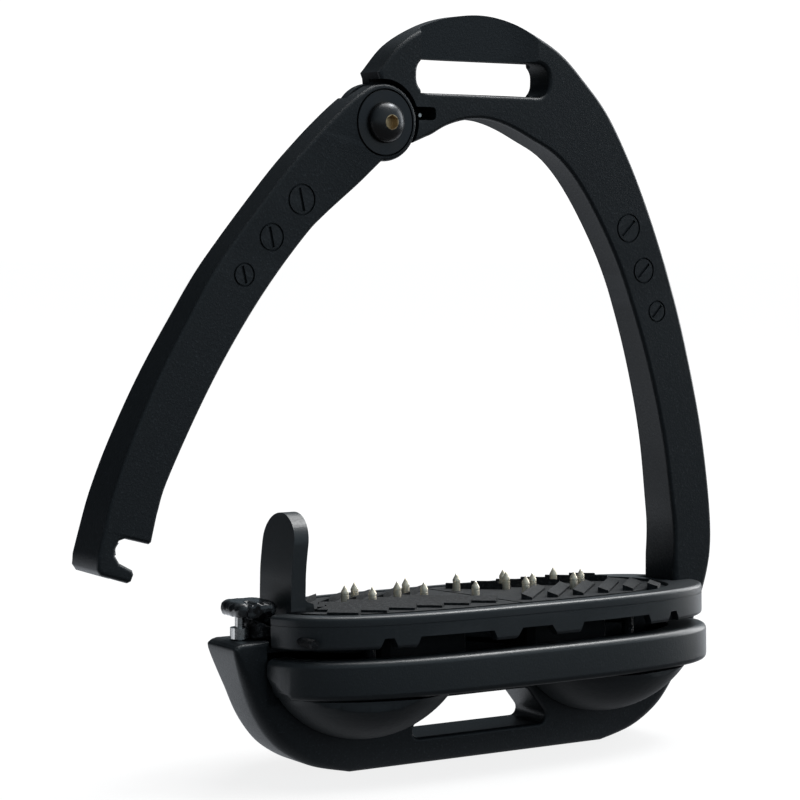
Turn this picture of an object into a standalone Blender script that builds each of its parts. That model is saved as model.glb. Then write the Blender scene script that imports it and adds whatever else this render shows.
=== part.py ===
"""Safety stirrup iron with a hinged outer release arm, shown with the arm swung open.

Lengths are written in millimetres and scaled to metres as each mesh is made.
X runs across the stirrup towards the fixed arm, -Y is the front, +Z is up.
The origin is the middle of the flat underside of the base.
"""
import math

import bmesh
import bpy
from mathutils import Matrix, Vector

MM = 0.001
GAP = 0.3                       # clearance between pieces that touch

# Driving dimensions, in millimetres and degrees
HEIGHT = 177.4                  # underside of the base to the top of the eye
PIVOT = (-28.3, 151.2)          # axis of the release arm, in X and Z
OPEN_ANGLE = 16.85              # the arm stands this far open
TOP_DEPTH, BASE_DEPTH = 8.6, 13.2
TAPER_LOW, TAPER_HIGH = 30.0, 112.0
NOMINAL_HALF = 5.0              # slab that is then tapered
BOSS_R, LUG_R, RECESS_R = 9.0, 9.2, 9.8
BOSS_BACK, LUG_FRONT = -0.1, 0.9
WASHER_R, WASHER_T = 7.6, 1.0
WASHER_SEAT = -3.1              # floor of the washer's counterbore in the boss
BARREL_R, BUSH_R = 3.5, 4.6
SPRING_R, SPRING_WIRE, SPRING_POCKET_R = 5.8, 0.9, 6.9
SLOT_LENGTH, SLOT_HEIGHT, SLOT_Z = 38.6, 8.0, 162.6
SLOT_ROUND = 3.3
EYE_SET_BACK = 3.8              # the eye is turned, so each face steps back at one end
BASE_TOP, END_TOP = 18.6, 32.5
TREAD_TILT = 2.4                # the toe side of the tread stands higher
TRAY_LEFT, TRAY_RIGHT, TRAY_FRONT, TRAY_BACK = 61.2, 67.0, 28.7, 24.0
TRAY_LOW, TRAY_HIGH, TRAY_FLOOR = 19.3, 28.35, 21.3
PLATE_LOW, PLATE_HIGH, DECK_TOP, DECK_LOW = 30.65, 38.35, 37.55, 35.4
PLATE_INSET = 1.0
CHEEK_X, CHEEK_Z, CHEEK_R, CHEEK_DEPTH = 35.2, 36.2, 28.0, 24.0
ARM_SLOT = 7.3                  # half width of the tread's cut-outs at both ends
LEVER_AXIS = (-48.5, 35.8)
ROCKER_AXIS = (-56.0, 33.4)
LEVER_FACE, LEVER_T, LEVER_W, LEVER_TOP = -54.3, 3.9, 14.0, 61.1
LEVER_LEAN = 1.5                # the top of the lever bends inwards
POST_X, POST_R = -63.8, 1.1
HEAD_BOX = ((-67.0, -5.4, 37.6), (-56.0, 5.4, 41.5))
STUD_PAIRS = ((33.2, -2.6), (27.9, -6.6), (30.0, 4.4), (18.4, -2.4), (12.8, -7.1), (14.7, 3.5), (3.0, 8.2))
STUD_SINGLE = (17.0, 8.0)
STUD_R, STUD_TOP = 0.95, 42.6
RIB_FIRST, RIB_PITCH, RIB_WIDTH, RIB_TOP = 3.5, 7.7, 2.6, 39.8

# Half outlines of the arms in X and Z, the same on both sides
OUTER_ARM = ((41.9, 149.1), (48.1, 138.1), (55.0, 123.2), (60.7, 108.2), (65.2, 92.9),
             (68.9, 77.6), (71.4, 62.2), (72.4, 50.6), (71.9, 42.9))
INNER_ARM = ((31.6, 134.6), (41.1, 119.5), (47.6, 104.5), (52.7, 89.4), (56.6, 74.2),
             (59.1, 59.0), (60.2, 50.0))
BASE_CURVE = ((70.8, 37.0), (68.6, 30.0), (65.8, 22.5), (62.4, 15.0), (58.4, 9.4), (53.9, 5.6),
              (47.0, 2.2), (37.2, 0.0))
ROSETTES = ((44.6, 127.3, 3.65), (49.7, 116.8, 3.25), (54.1, 106.6, 2.75))


# ---------------------------------------------------------------- helpers
def clear_scene():
    for obj in list(bpy.data.objects):
        bpy.data.objects.remove(obj, do_unlink=True)


def new_collection(name):
    collection = bpy.data.collections.new(name)
    bpy.context.scene.collection.children.link(collection)
    return collection


def material(name, color, roughness, metallic):
    mat = bpy.data.materials.new(name)
    mat.use_nodes = True
    shader = mat.node_tree.nodes["Principled BSDF"]
    shader.inputs["Base Color"].default_value = (*color, 1.0)
    shader.inputs["Roughness"].default_value = roughness
    shader.inputs["Metallic"].default_value = metallic
    return mat


def add_object(name, mesh, collection, mat=None, smooth=30.0):
    obj = bpy.data.objects.new(name, mesh)
    collection.objects.link(obj)
    if mat:
        mesh.materials.clear()
        mesh.materials.append(mat)
    mesh.shade_smooth()
    mesh.set_sharp_from_angle(angle=math.radians(smooth))
    return obj


def catmull(points, steps=2):
    """Smooth curve through the points, which keeps its end points."""
    ends = [tuple(2 * a - b for a, b in zip(points[0], points[1])),
            tuple(2 * a - b for a, b in zip(points[-1], points[-2]))]
    knots = [Vector(p) for p in (ends[0], *points, ends[1])]
    curve = []
    for a, b, c, d in zip(knots, knots[1:], knots[2:], knots[3:]):
        for i in range(steps):
            t = i / steps
            curve.append(0.5 * ((2 * b) + (c - a) * t + (2 * a - 5 * b + 4 * c - d) * t * t
                                + (3 * b - a - 3 * c + d) * t ** 3))
    curve.append(knots[-2])
    return [tuple(p) for p in curve]


def arc(center, radius, start, end, steps):
    return [(center[0] + radius * math.cos(math.radians(start + (end - start) * i / steps)),
             center[1] + radius * math.sin(math.radians(start + (end - start) * i / steps)))
            for i in range(steps + 1)]


def rounded(corners, radius, steps=3):
    """Polygon with every corner rounded to the same radius."""
    points = []
    count = len(corners)
    for i, corner in enumerate(corners):
        here = Vector(corner)
        back = (Vector(corners[i - 1]) - here).normalized()
        ahead = (Vector(corners[(i + 1) % count]) - here).normalized()
        half = back.angle(ahead) / 2
        center = here + (back + ahead).normalized() * radius / math.sin(half)
        first = here + back * radius / math.tan(half) - center
        last = here + ahead * radius / math.tan(half) - center
        turn = first.angle_signed(last)
        for k in range(steps + 1):
            points.append(tuple(center + Matrix.Rotation(-turn * k / steps, 2) @ first))
    return points


def flat_mesh(name, outlines, low, high, plane="XZ", edge=0.0, edge_steps=0):
    """Solid of a flat outline, with holes, between two depths across its plane."""
    curve = bpy.data.curves.new(name, "CURVE")
    curve.dimensions = "2D"
    curve.fill_mode = "BOTH"
    curve.extrude = ((high - low) / 2 - edge) * MM
    curve.bevel_depth = edge * MM
    curve.bevel_resolution = edge_steps
    curve.offset = -edge * MM
    for outline in outlines:
        spline = curve.splines.new("POLY")
        spline.points.add(len(outline) - 1)
        for point, (x, y) in zip(spline.points, outline):
            point.co = (x * MM, y * MM, 0, 1)
        spline.use_cyclic_u = True
    middle = (low + high) / 2 * MM
    turns = {"XZ": Matrix.Translation((0, middle, 0)) @ Matrix.Rotation(math.pi / 2, 4, "X"),
             "XY": Matrix.Translation((0, 0, middle)),
             "YZ": Matrix.Translation((middle, 0, 0)) @ Matrix(((0, 0, 1, 0), (1, 0, 0, 0),
                                                                (0, 1, 0, 0), (0, 0, 0, 1)))}
    guide = bpy.data.objects.new(name, curve)
    guide.matrix_world = turns[plane]
    return curve_mesh(guide, name)


def curve_mesh(guide, name):
    """Mesh of a curve object, with its caps welded on."""
    bpy.context.scene.collection.objects.link(guide)
    bpy.context.view_layer.update()
    depsgraph = bpy.context.evaluated_depsgraph_get()
    mesh = bpy.data.meshes.new_from_object(guide.evaluated_get(depsgraph))
    mesh.name = name
    mesh.transform(guide.matrix_world)
    bpy.data.objects.remove(guide, do_unlink=True)
    edit = bmesh.new()
    edit.from_mesh(mesh)
    bmesh.ops.remove_doubles(edit, verts=edit.verts, dist=1e-6)
    bmesh.ops.recalc_face_normals(edit, faces=edit.faces)
    edit.to_mesh(mesh)
    edit.free()
    return mesh


def wire_mesh(name, points, radius, sides=2):
    curve = bpy.data.curves.new(name, "CURVE")
    curve.dimensions = "3D"
    curve.bevel_depth = radius * MM
    curve.bevel_resolution = sides
    curve.use_fill_caps = True
    spline = curve.splines.new("POLY")
    spline.points.add(len(points) - 1)
    for point, place in zip(spline.points, points):
        point.co = (*(c * MM for c in place), 1)
    return curve_mesh(bpy.data.objects.new(name, curve), name)


def box_mesh(name, low, high):
    edit = bmesh.new()
    bmesh.ops.create_cube(edit, size=1.0)
    size = [(b - a) * MM for a, b in zip(low, high)]
    middle = [(a + b) / 2 * MM for a, b in zip(low, high)]
    bmesh.ops.scale(edit, vec=size, verts=edit.verts)
    bmesh.ops.translate(edit, vec=middle, verts=edit.verts)
    return finish_mesh(edit, name)


def rod_mesh(name, radius, start, end, at, axis="Y", segments=20):
    """Cylinder between two positions along an axis; at gives the other two coordinates."""
    edit = bmesh.new()
    bmesh.ops.create_cone(edit, cap_ends=True, segments=segments, radius1=radius * MM,
                          radius2=radius * MM, depth=abs(end - start) * MM)
    middle = (start + end) / 2
    if axis == "Y":
        bmesh.ops.rotate(edit, matrix=Matrix.Rotation(math.pi / 2, 3, "X"), verts=edit.verts)
        place = (at[0], middle, at[1])
    else:
        place = (at[0], at[1], middle)
    bmesh.ops.translate(edit, vec=[c * MM for c in place], verts=edit.verts)
    return finish_mesh(edit, name)


def finish_mesh(edit, name):
    mesh = bpy.data.meshes.new(name)
    bmesh.ops.recalc_face_normals(edit, faces=edit.faces)
    edit.to_mesh(mesh)
    edit.free()
    return mesh


def turned(name, profile, at, collection, mat, axis="Y", segments=20):
    """Turned solid from (radius, height) points; along Y, heights run towards the front."""
    mesh = bpy.data.meshes.new(name)
    rows = [(radius * MM, 0, height * MM) for radius, height in profile]
    closed = profile[0][0] > 0
    edges = [(i, i + 1) for i in range(len(rows) - 1)]
    if closed:
        edges.append((len(rows) - 1, 0))
    mesh.from_pydata(rows, edges, [])
    obj = bpy.data.objects.new(name, mesh)
    collection.objects.link(obj)
    if mat:
        mesh.materials.append(mat)
    screw = obj.modifiers.new("Turn", "SCREW")
    screw.steps = screw.render_steps = segments
    screw.use_merge_vertices = True
    screw.merge_threshold = 1e-6
    screw.use_smooth_shade = False
    obj.location = [c * MM for c in at]
    if axis == "Y":
        obj.rotation_euler = (math.pi / 2, 0, 0)
    return obj


def tube(name, inner, outer, low, high, at, collection, mat, axis="Y", segments=20):
    """Sleeve or washer; along Y, low and high run towards the front."""
    profile = [(outer, high), (outer, low), (inner, low), (inner, high)]
    return turned(name, profile, at, collection, mat, axis, segments)


def boolean(obj, mesh, operation="DIFFERENCE"):
    """Cut or join a mesh with an object, as an applied exact Boolean."""
    cutter = bpy.data.objects.new(obj.name + "_tool", mesh)
    cutters.objects.link(cutter)
    cutter.hide_render = True
    cutter.display_type = "WIRE"
    modifier = obj.modifiers.new(operation.title(), "BOOLEAN")
    modifier.operation = operation
    modifier.solver = "EXACT"
    modifier.object = cutter


def bevel(obj, width, segments=1, angle=35.0):
    modifier = obj.modifiers.new("Bevel", "BEVEL")
    modifier.width = width * MM
    modifier.segments = segments
    modifier.limit_method = "ANGLE"
    modifier.angle_limit = math.radians(angle)
    modifier.use_clamp_overlap = True


def set_origin(obj, place):
    """Put an object's origin on its joint's axis and leave its mesh where it is."""
    center = Vector(place) * MM
    obj.data.transform(Matrix.Translation(-center))
    obj.location = center


def apply(obj):
    """Turn an object's modifiers into its mesh."""
    bpy.context.view_layer.update()
    depsgraph = bpy.context.evaluated_depsgraph_get()
    mesh = bpy.data.meshes.new_from_object(obj.evaluated_get(depsgraph))
    obj.modifiers.clear()
    obj.data = mesh
    mesh.shade_smooth()
    mesh.set_sharp_from_angle(angle=math.radians(30))


def half_depth(z):
    """Half the frame's depth: slim at the eye, deeper towards the base."""
    share = min(max((TAPER_HIGH - z) / (TAPER_HIGH - TAPER_LOW), 0), 1)
    return TOP_DEPTH / 2 + (BASE_DEPTH - TOP_DEPTH) / 2 * share


def taper(mesh):
    """Move the faces of a slab of nominal half depth to the frame's depth at each height."""
    edit = bmesh.new()
    edit.from_mesh(mesh)
    for z in (TAPER_LOW, TAPER_HIGH):
        everything = edit.verts[:] + edit.edges[:] + edit.faces[:]
        bmesh.ops.bisect_plane(edit, geom=everything, plane_co=(0, 0, z * MM), plane_no=(0, 0, 1))
    for vert in edit.verts:
        change = (half_depth(vert.co.z / MM) - NOMINAL_HALF) * MM
        vert.co.y += change if vert.co.y > 0 else -change
    bmesh.ops.recalc_face_normals(edit, faces=edit.faces)
    edit.to_mesh(mesh)
    edit.free()


def tilt(obj):
    """Tip a finished tread piece back about the length of the tray."""
    apply(obj)
    center = Vector((0, 0, TRAY_HIGH * MM))
    turn = Matrix.Rotation(math.radians(-TREAD_TILT), 4, "X")
    obj.matrix_world = (Matrix.Translation(center) @ turn @ Matrix.Translation(-center)
                        @ obj.matrix_world)


def tread_outline(left, right, front, back, steps=48):
    """Bowed tread with rounded ends, seen from above, from its reach on each side."""
    points = []
    for i in range(steps):
        angle = 2 * math.pi * (i + 0.5) / steps
        cosine, sine = math.cos(angle), math.sin(angle)
        depth = back if sine > 0 else front
        reach = right if cosine > 0 else left
        points.append((math.copysign(abs(cosine) ** 0.64, cosine) * reach,
                       math.copysign(abs(sine) ** 0.72, sine) * depth))
    return points


# ---------------------------------------------------------------- frame and arm
def rosette_cuts(obj, side):
    """Three shallow rings, each around a disc with a slot, on an arm's front face."""
    for x, z, radius in ROSETTES:
        face = -half_depth(z)
        ring = tube(obj.name + "_ring", radius - 0.45, radius, -face - 0.35, -face + 1.0,
                    (side * x, 0, z), cutters, None, segments=18)
        ring.hide_render = True
        ring.display_type = "WIRE"
        slot = box_mesh(obj.name + "_slot", (-radius * 0.78, -0.5, -0.32), (radius * 0.78, 0.5, 0.32))
        lean = math.radians(-45 if side > 0 else 60)
        slot.transform(Matrix.Translation((side * x * MM, (face - 0.2) * MM, z * MM))
                       @ Matrix.Rotation(lean, 4, "Y"))
        ring_cut = obj.modifiers.new("Ring", "BOOLEAN")
        ring_cut.solver = "EXACT"
        ring_cut.object = ring
        boolean(obj, slot)


def make_frame(parts, mats):
    neck = catmull([(-16.6, 148.1), (-14.6, 148.9), (-10.5, 151.0), (-5.0, 152.5), (1.0, 152.7),
                    (7.0, 151.4), (14.0, 148.5), (23.1, 143.7), *INNER_ARM, (60.0, 38.0)])
    base = [(59.5, BASE_TOP), (-59.4, BASE_TOP), (-59.4, END_TOP)]
    left_end = catmull([(-66.6, END_TOP), (-68.2, 31.9), (-68.7, 30.2),
                        *((-x, z) for x, z in BASE_CURVE[2:])])
    right_end = catmull([*reversed(BASE_CURVE), *reversed(OUTER_ARM), (36.9, 156.3), (31.0, 162.4),
                         (23.5, 169.0), (15.2, 173.4), (7.6, 176.2), (0, HEIGHT), (-8.1, 176.6),
                         (-16.0, 174.1), (-24.2, 169.4), (-30.3, 162.8)])
    lug = arc(PIVOT, LUG_R, 98, 330, 20)
    step = arc(PIVOT, RECESS_R + 0.6, 98, 98, 1)[:1]
    outline = neck + base + left_end + right_end + step + lug

    half = SLOT_LENGTH / 2
    low, high = SLOT_Z - SLOT_HEIGHT / 2, SLOT_Z + SLOT_HEIGHT / 2
    leather_slot = rounded([(-half, low), (half, low), (half, high), (-half, high)], SLOT_ROUND, 5)
    window = rounded([(-21.6, 6.2), (21.6, 6.2), (14.2, 15.2), (-14.2, 15.2)], 1.6, 3)

    mesh = flat_mesh("main_frame", [outline, leather_slot, window], -NOMINAL_HALF, NOMINAL_HALF,
                     edge=0.8)
    taper(mesh)
    frame = add_object("main_frame", mesh, parts, mats["anodised"])
    for side in (-1, 1):
        face = half_depth(SLOT_Z) + 0.06
        wedge = [(-16.0, face), (17.6, face - EYE_SET_BACK), (17.6, 9.0), (-16.0, 9.0)]
        wedge = [(-side * x, side * y) for x, y in wedge]
        low_edge = SLOT_Z - SLOT_HEIGHT / 2 - 0.23
        boolean(frame, flat_mesh("eye_face", [wedge], low_edge, 190, "XY"))

    recess_center = (PIVOT[0] - 0.3, PIVOT[1] + 0.3)
    boolean(frame, rod_mesh("recess", RECESS_R, -20, LUG_FRONT, recess_center, segments=32))
    slot = rounded([(-21.0, 152.1), (-14.0, 152.1), (-14.0, 155.2), (-21.0, 155.2)], 1.0, 3)
    boolean(frame, flat_mesh("spring_slot", [slot], -20, 2.4))
    boolean(frame, rod_mesh("spring_pocket", SPRING_POCKET_R, -1, 2.2, PIVOT, segments=28))
    boolean(frame, rod_mesh("lug_bore", BARREL_R + GAP, -1, 20, PIVOT))
    boolean(frame, rod_mesh("nut_seat", 5.4, 2.9, 20, PIVOT))
    leg_groove = box_mesh("leg_groove", (5.8, 0.0, -0.85), (11.0, 2.2, 0.85))
    leg_groove.transform(Matrix.Translation((PIVOT[0] * MM, 0, PIVOT[1] * MM))
                         @ Matrix.Rotation(math.radians(-11.3), 4, "Y"))
    boolean(frame, leg_groove)

    for x in (-40.0, 40.0):
        boolean(frame, rod_mesh("tray_hole", 2.3, 11.0, 25.0, (x, 0), "Z", 24))
    boolean(frame, rod_mesh("post_hole", POST_R + GAP, 27.0, 40.0, (POST_X, 0), "Z", 20))
    rosette_cuts(frame, 1)
    return frame


def make_arm(parts, mats):
    outer = catmull([(-35.0, 157.2), (-37.6, 154.2), (-41.2, 148.9), (-45.8, 141.1), (-51.4, 130.1),
                     *((-x, z) for x, z in OUTER_ARM[3:-1]), (-72.3, 42.0), (-72.1, 36.6)])
    tip = [(-71.5, 34.2), (-70.2, 33.2), (-63.3, 33.1), (-62.5, 33.7), (-62.3, 35.3), (-62.9, 36.2),
           (-66.4, 36.9), (-67.9, 38.2), (-68.4, 39.8), (-67.9, 41.6), (-66.6, 42.4), (-60.5, 42.6),
           (-60.0, 43.2)]
    inner = catmull([(-60.3, 49.3), (-59.9, 57.0), *((-x, z) for x, z in reversed(INNER_ARM[1:-2])),
                     (-37.4, 125.9), (-31.0, 135.1), (-27.7, 140.2)])
    boss = arc(PIVOT, BOSS_R, 283, 498, 26)
    mesh = flat_mesh("release_arm", [outer + tip + inner + boss[:-1]], -NOMINAL_HALF, NOMINAL_HALF,
                     edge=0.8)
    taper(mesh)
    arm = add_object("release_arm", mesh, parts, mats["anodised"])
    boolean(arm, rod_mesh("lug_room", LUG_R + 0.6, BOSS_BACK, 20, PIVOT, segments=32))
    boolean(arm, rod_mesh("washer_seat", WASHER_R + GAP, -20, WASHER_SEAT, PIVOT, segments=28))
    boolean(arm, rod_mesh("boss_bore", BUSH_R + GAP, -20, 20, PIVOT))
    boolean(arm, rod_mesh("boss_pocket", SPRING_POCKET_R, -2.1, 20, PIVOT, segments=28))
    boolean(arm, box_mesh("fork", (-66.5, -2.6, 30.0), (-60.0, 2.6, 37.4)))
    rosette_cuts(arm, -1)
    apply(arm)
    swing(arm)
    return arm


def swing(obj):
    """Put a piece of the arm, made in the closed position, at the open angle."""
    center = Vector((PIVOT[0] * MM, 0, PIVOT[1] * MM))
    turn = Matrix.Rotation(math.radians(OPEN_ANGLE), 4, "Y")
    obj.data.transform(Matrix.Translation(-center))
    obj.matrix_world = Matrix.Translation(center) @ turn


def make_notch_liner(parts, mats):
    """Thin steel strip around the back of the arm's notch."""
    path = catmull([(-67.5, 38.3), (-68.05, 39.8), (-67.6, 41.3)], 4)
    inside = catmull([(-67.2, 41.2), (-67.6, 39.8), (-67.1, 38.45)], 4)
    mesh = flat_mesh("notch_liner", [path + inside], -4.6, 4.6)
    liner = add_object("notch_liner", mesh, parts, mats["steel"])
    swing(liner)


# ---------------------------------------------------------------- pivot
def hex_socket(name, across, depth_from, depth_to, at):
    radius = across / math.sqrt(3)
    return rod_mesh(name, radius, depth_from, depth_to, at, segments=6)


def make_pivot(parts, mats):
    at = (PIVOT[0], 0, PIVOT[1])
    head = [(0, 7.45), (2.2, 7.35), (3.6, 6.9), (4.5, 6.0), (4.75, 4.7), (2.5, 4.7), (2.5, -3.6),
            (2.1, -4.0), (0, -4.0)]
    screw = turned("pivot_screw", head, at, parts, mats["dark_steel"])
    boolean(screw, hex_socket("socket", 3.0, -9.0, -5.4, PIVOT))
    front = -WASHER_SEAT + GAP
    tube("pivot_washer", 2.8, WASHER_R, front, front + WASHER_T, at, parts, mats["dark_steel"],
         segments=28)
    nut = [(BARREL_R, 2.7), (BARREL_R, -3.2), (5.1, -3.2), (5.1, -4.4), (2.8, -4.4), (2.8, 2.7)]
    turned("pivot_barrel_nut", nut, at, parts, mats["dark_steel"])
    tube("pivot_bush", BARREL_R + GAP, BUSH_R, -0.5, 2.8, at, parts, mats["bronze"])
    tube("thrust_washer", 7.2, 8.5, -0.6, -0.2, at, parts, mats["nylon"], segments=28)


def make_torsion_spring(parts, mats):
    """Two turns round the bush, with a leg out to the slot in the frame."""
    leg_angle, turns, per_turn = 11.3, 2.25, 12
    count = int(turns * per_turn)
    coil = []
    for i in range(count + 1):
        angle = math.radians(leg_angle + 360 * turns * (1 - i / count))
        coil.append((PIVOT[0] + SPRING_R * math.cos(angle), -1.35 + 2.7 * i / count,
                     PIVOT[1] + SPRING_R * math.sin(angle)))
    direction = (math.cos(math.radians(leg_angle)), math.sin(math.radians(leg_angle)))
    for reach, depth in ((8.6, 1.35), (9.9, 1.2), (10.2, 0.7), (10.2, -3.9)):
        coil.append((PIVOT[0] + reach * direction[0], depth, PIVOT[1] + reach * direction[1]))
    mesh = wire_mesh("torsion_spring", coil, SPRING_WIRE / 2)
    add_object("torsion_spring", mesh, parts, mats["steel"], 60)


# ---------------------------------------------------------------- tread
def end_cutouts(obj, left_x, right_x, z_low, z_high):
    boolean(obj, box_mesh("left_cut", (-90, -ARM_SLOT, z_low), (left_x, ARM_SLOT, z_high)))
    boolean(obj, box_mesh("right_cut", (right_x, -ARM_SLOT, z_low), (90, ARM_SLOT, z_high)))


def make_tray(parts, mats):
    outline = tread_outline(TRAY_LEFT, TRAY_RIGHT, TRAY_FRONT, TRAY_BACK)
    mesh = flat_mesh("tread_tray", [outline], TRAY_LOW, TRAY_HIGH, "XY", 1.5, 1)
    tray = add_object("tread_tray", mesh, parts, mats["satin_black"])
    pocket = tread_outline(56.0, 56.0, 24.0, 19.5, 36)
    boolean(tray, flat_mesh("tray_pocket", [pocket], TRAY_FLOOR, 60, "XY"))
    tilt(tray)
    bpy.context.view_layer.update()
    tray.data.transform(tray.matrix_world)
    tray.matrix_world = Matrix()
    end_cutouts(tray, -59.0, 58.7, 0, 60)
    round_end = arc((-CHEEK_X, CHEEK_Z), CHEEK_R, 180, 232, 10) + [(-90, 14.0), (-90, CHEEK_Z)]
    boolean(tray, flat_mesh("round_end", [round_end], -40, 40))
    for side in (-1, 1):
        for face in (-1, 1):
            boolean(tray, cheek_mesh(side, face), "UNION")
    for x in (-40.0, 40.0):
        boolean(tray, rod_mesh("screw_hole", 2.3, 0, 25, (x, 0), "Z", 24))


def cheek_mesh(side, face):
    """Half-moon gusset: a bowl between the underside of the tray and a face of the base."""
    edit = bmesh.new()
    bmesh.ops.create_uvsphere(edit, u_segments=36, v_segments=20, radius=1.0)
    bmesh.ops.scale(edit, vec=[r * MM for r in (CHEEK_R, CHEEK_DEPTH, CHEEK_R)], verts=edit.verts)
    bmesh.ops.translate(edit, vec=[c * MM for c in (side * CHEEK_X, face * ARM_SLOT, CHEEK_Z)],
                        verts=edit.verts)
    bowl = add_object("cheek_bowl", finish_mesh(edit, "cheek"), cutters)
    bowl.hide_render = True
    low, high = sorted((face * ARM_SLOT, face * 40.0))
    boolean(bowl, box_mesh("cheek_half", (-70, low, 0), (70, high, TRAY_LOW + 0.6)), "INTERSECT")
    under = tread_outline(*(reach - 0.8 for reach in (TRAY_LEFT, TRAY_RIGHT, TRAY_FRONT, TRAY_BACK)))
    boolean(bowl, flat_mesh("cheek_limit", [under], 0, 40, "XY"), "INTERSECT")
    apply(bowl)
    mesh = bowl.data
    bpy.data.objects.remove(bowl, do_unlink=True)
    return mesh


def make_plate(parts, mats):
    outline = tread_outline(TRAY_LEFT - PLATE_INSET, TRAY_RIGHT - PLATE_INSET,
                            TRAY_FRONT - PLATE_INSET, TRAY_BACK - PLATE_INSET)
    mesh = flat_mesh("tread_plate", [outline], PLATE_LOW, PLATE_HIGH, "XY", 0.8)
    plate = add_object("tread_plate", mesh, parts, mats["satin_black"])
    hollow = tread_outline(57.7, 63.5, 25.3, 20.6, 40)
    boolean(plate, flat_mesh("plate_hollow", [hollow], 0, DECK_LOW, "XY"))
    recess = tread_outline(56.0, 56.0, 24.6, 19.9, 40)
    boolean(plate, flat_mesh("deck_recess", [recess], DECK_TOP, 60, "XY"))
    for center, half_low, half_high in ((-38.9, 2.4, 1.1), (-21.4, 11.0, 9.8), (0.9, 6.4, 4.3),
                                        (25.2, 11.7, 10.5), (45.0, 2.4, 1.1)):
        notch = [(center - half_low - 0.4, PLATE_LOW - 1), (center + half_low + 0.4, PLATE_LOW - 1),
                 (center + half_high, PLATE_LOW + 2.5), (center - half_high, PLATE_LOW + 2.5)]
        boolean(plate, flat_mesh("rim_notch", [notch], -40, 40))
    end_cutouts(plate, -45.5, 58.7, 0, 60)
    for x, y in plate_screw_places():
        boolean(plate, rod_mesh("boss_hole", 1.8, 30, 37.0, (x, y), "Z", 16))
    tilt(plate)


def plate_screw_places():
    return [(x, y) for x in (-38.0, 38.0) for y in (-15.0, 12.0)]


def make_cushions(parts, mats):
    """Rubber blocks that carry the plate on the floor of the tray."""
    for side, name in ((-1, "cushion_left"), (1, "cushion_right")):
        low = (min(side * 9, side * 33), -14, TRAY_FLOOR + GAP)
        high = (max(side * 9, side * 33), 12, DECK_LOW - GAP)
        block = add_object(name, box_mesh(name, low, high), parts, mats["rubber"])
        bevel(block, 1.5)
        tilt(block)


def make_grip_pads(parts, mats):
    """Two rubber pads in the deck, with slanting ribs, and holes for the studs."""
    for side, name in ((-1, "grip_pad_left"), (1, "grip_pad_right")):
        outline = tread_outline(53.0, 53.0, 22.6, 17.9, 36)
        mesh = flat_mesh(name, [outline], DECK_TOP + GAP, PLATE_HIGH, "XY")
        pad = add_object(name, mesh, parts, mats["rubber"])
        inner, outer = side * 0.4, side * 52.0
        keep = box_mesh("keep", (min(inner, outer), -40, 30), (max(inner, outer), 40, 45))
        boolean(pad, keep, "INTERSECT")
        for start, length, row in rib_places():
            boolean(pad, rib_mesh(side, row, start, length), "UNION")
        if side < 0:
            boolean(pad, box_mesh("lever_room", (-90, -8.0, 30), (-45.0, 8.0, 45)))
        for x, y in stud_places():
            if x * side > 0:
                boolean(pad, rod_mesh("stud_hole", STUD_R + GAP, 30, 45, (x, y), "Z", 8))
        tilt(pad)


def rib_places():
    """Distance from the middle, length and row (-1 front, 1 back) of the ribs of one pad."""
    places = []
    for count in range(6):
        start = RIB_FIRST + RIB_PITCH * count
        places += [(start, min(23.0, (47.5 - start) * 1.35), -1),
                   (start, min(16.0, (47.5 - start) * 1.2), 1)]
    return places


def rib_mesh(side, row, start, length):
    """Rib that runs from the pad's edge to its middle line at 45 degrees, steep on one side."""
    section = [(-RIB_WIDTH, 38.0), (0, 38.0), (0, RIB_TOP), (-RIB_WIDTH, RIB_TOP - 0.9)]
    mesh = flat_mesh("rib", [section], 0, length, "YZ")
    edge_y = -17.8 if row < 0 else 13.6
    across = Matrix.Diagonal((side, -row, 1, 1))
    place = Matrix.Translation((side * start * MM, edge_y * MM, 0))
    mesh.transform(place @ across @ Matrix.Rotation(math.radians(45), 4, "Z"))
    if side * -row < 0:
        mesh.flip_normals()
    return mesh


def stud_places():
    """Studs in pairs half a turn apart about the middle, and one without a partner."""
    return [(x * k, y * k) for x, y in STUD_PAIRS for k in (1, -1)] + [STUD_SINGLE]


def make_studs(parts, mats):
    """Pointed steel studs that screw into the deck."""
    for number, (x, y) in enumerate(stud_places(), 1):
        profile = [(0, STUD_TOP), (STUD_R, STUD_TOP - 1.5), (STUD_R, DECK_TOP + GAP),
                   (0, DECK_TOP + GAP)]
        stud = turned(f"grip_stud_{number:02d}", profile, (x, y, 0), parts, mats["steel"], "Z", 8)
        tilt(stud)


def make_fasteners(parts, mats):
    for x, side in ((-40.0, "left"), (40.0, "right")):
        profile = [(0, 24.6), (3.0, 24.6), (3.5, 24.0), (3.5, 22.4), (2.0, 22.4), (2.0, 12.0),
                   (0, 12.0)]
        turned(f"tray_screw_{side}", profile, (x, 0, 0), parts, mats["steel"], "Z", 16)
    for number, (x, y) in enumerate(plate_screw_places(), 1):
        profile = [(0, 36.6), (1.5, 36.6), (1.5, TRAY_FLOOR + GAP), (0, TRAY_FLOOR + GAP)]
        tilt(turned(f"plate_post_{number}", profile, (x, y, 0), parts, mats["steel"], "Z", 12))


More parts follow.
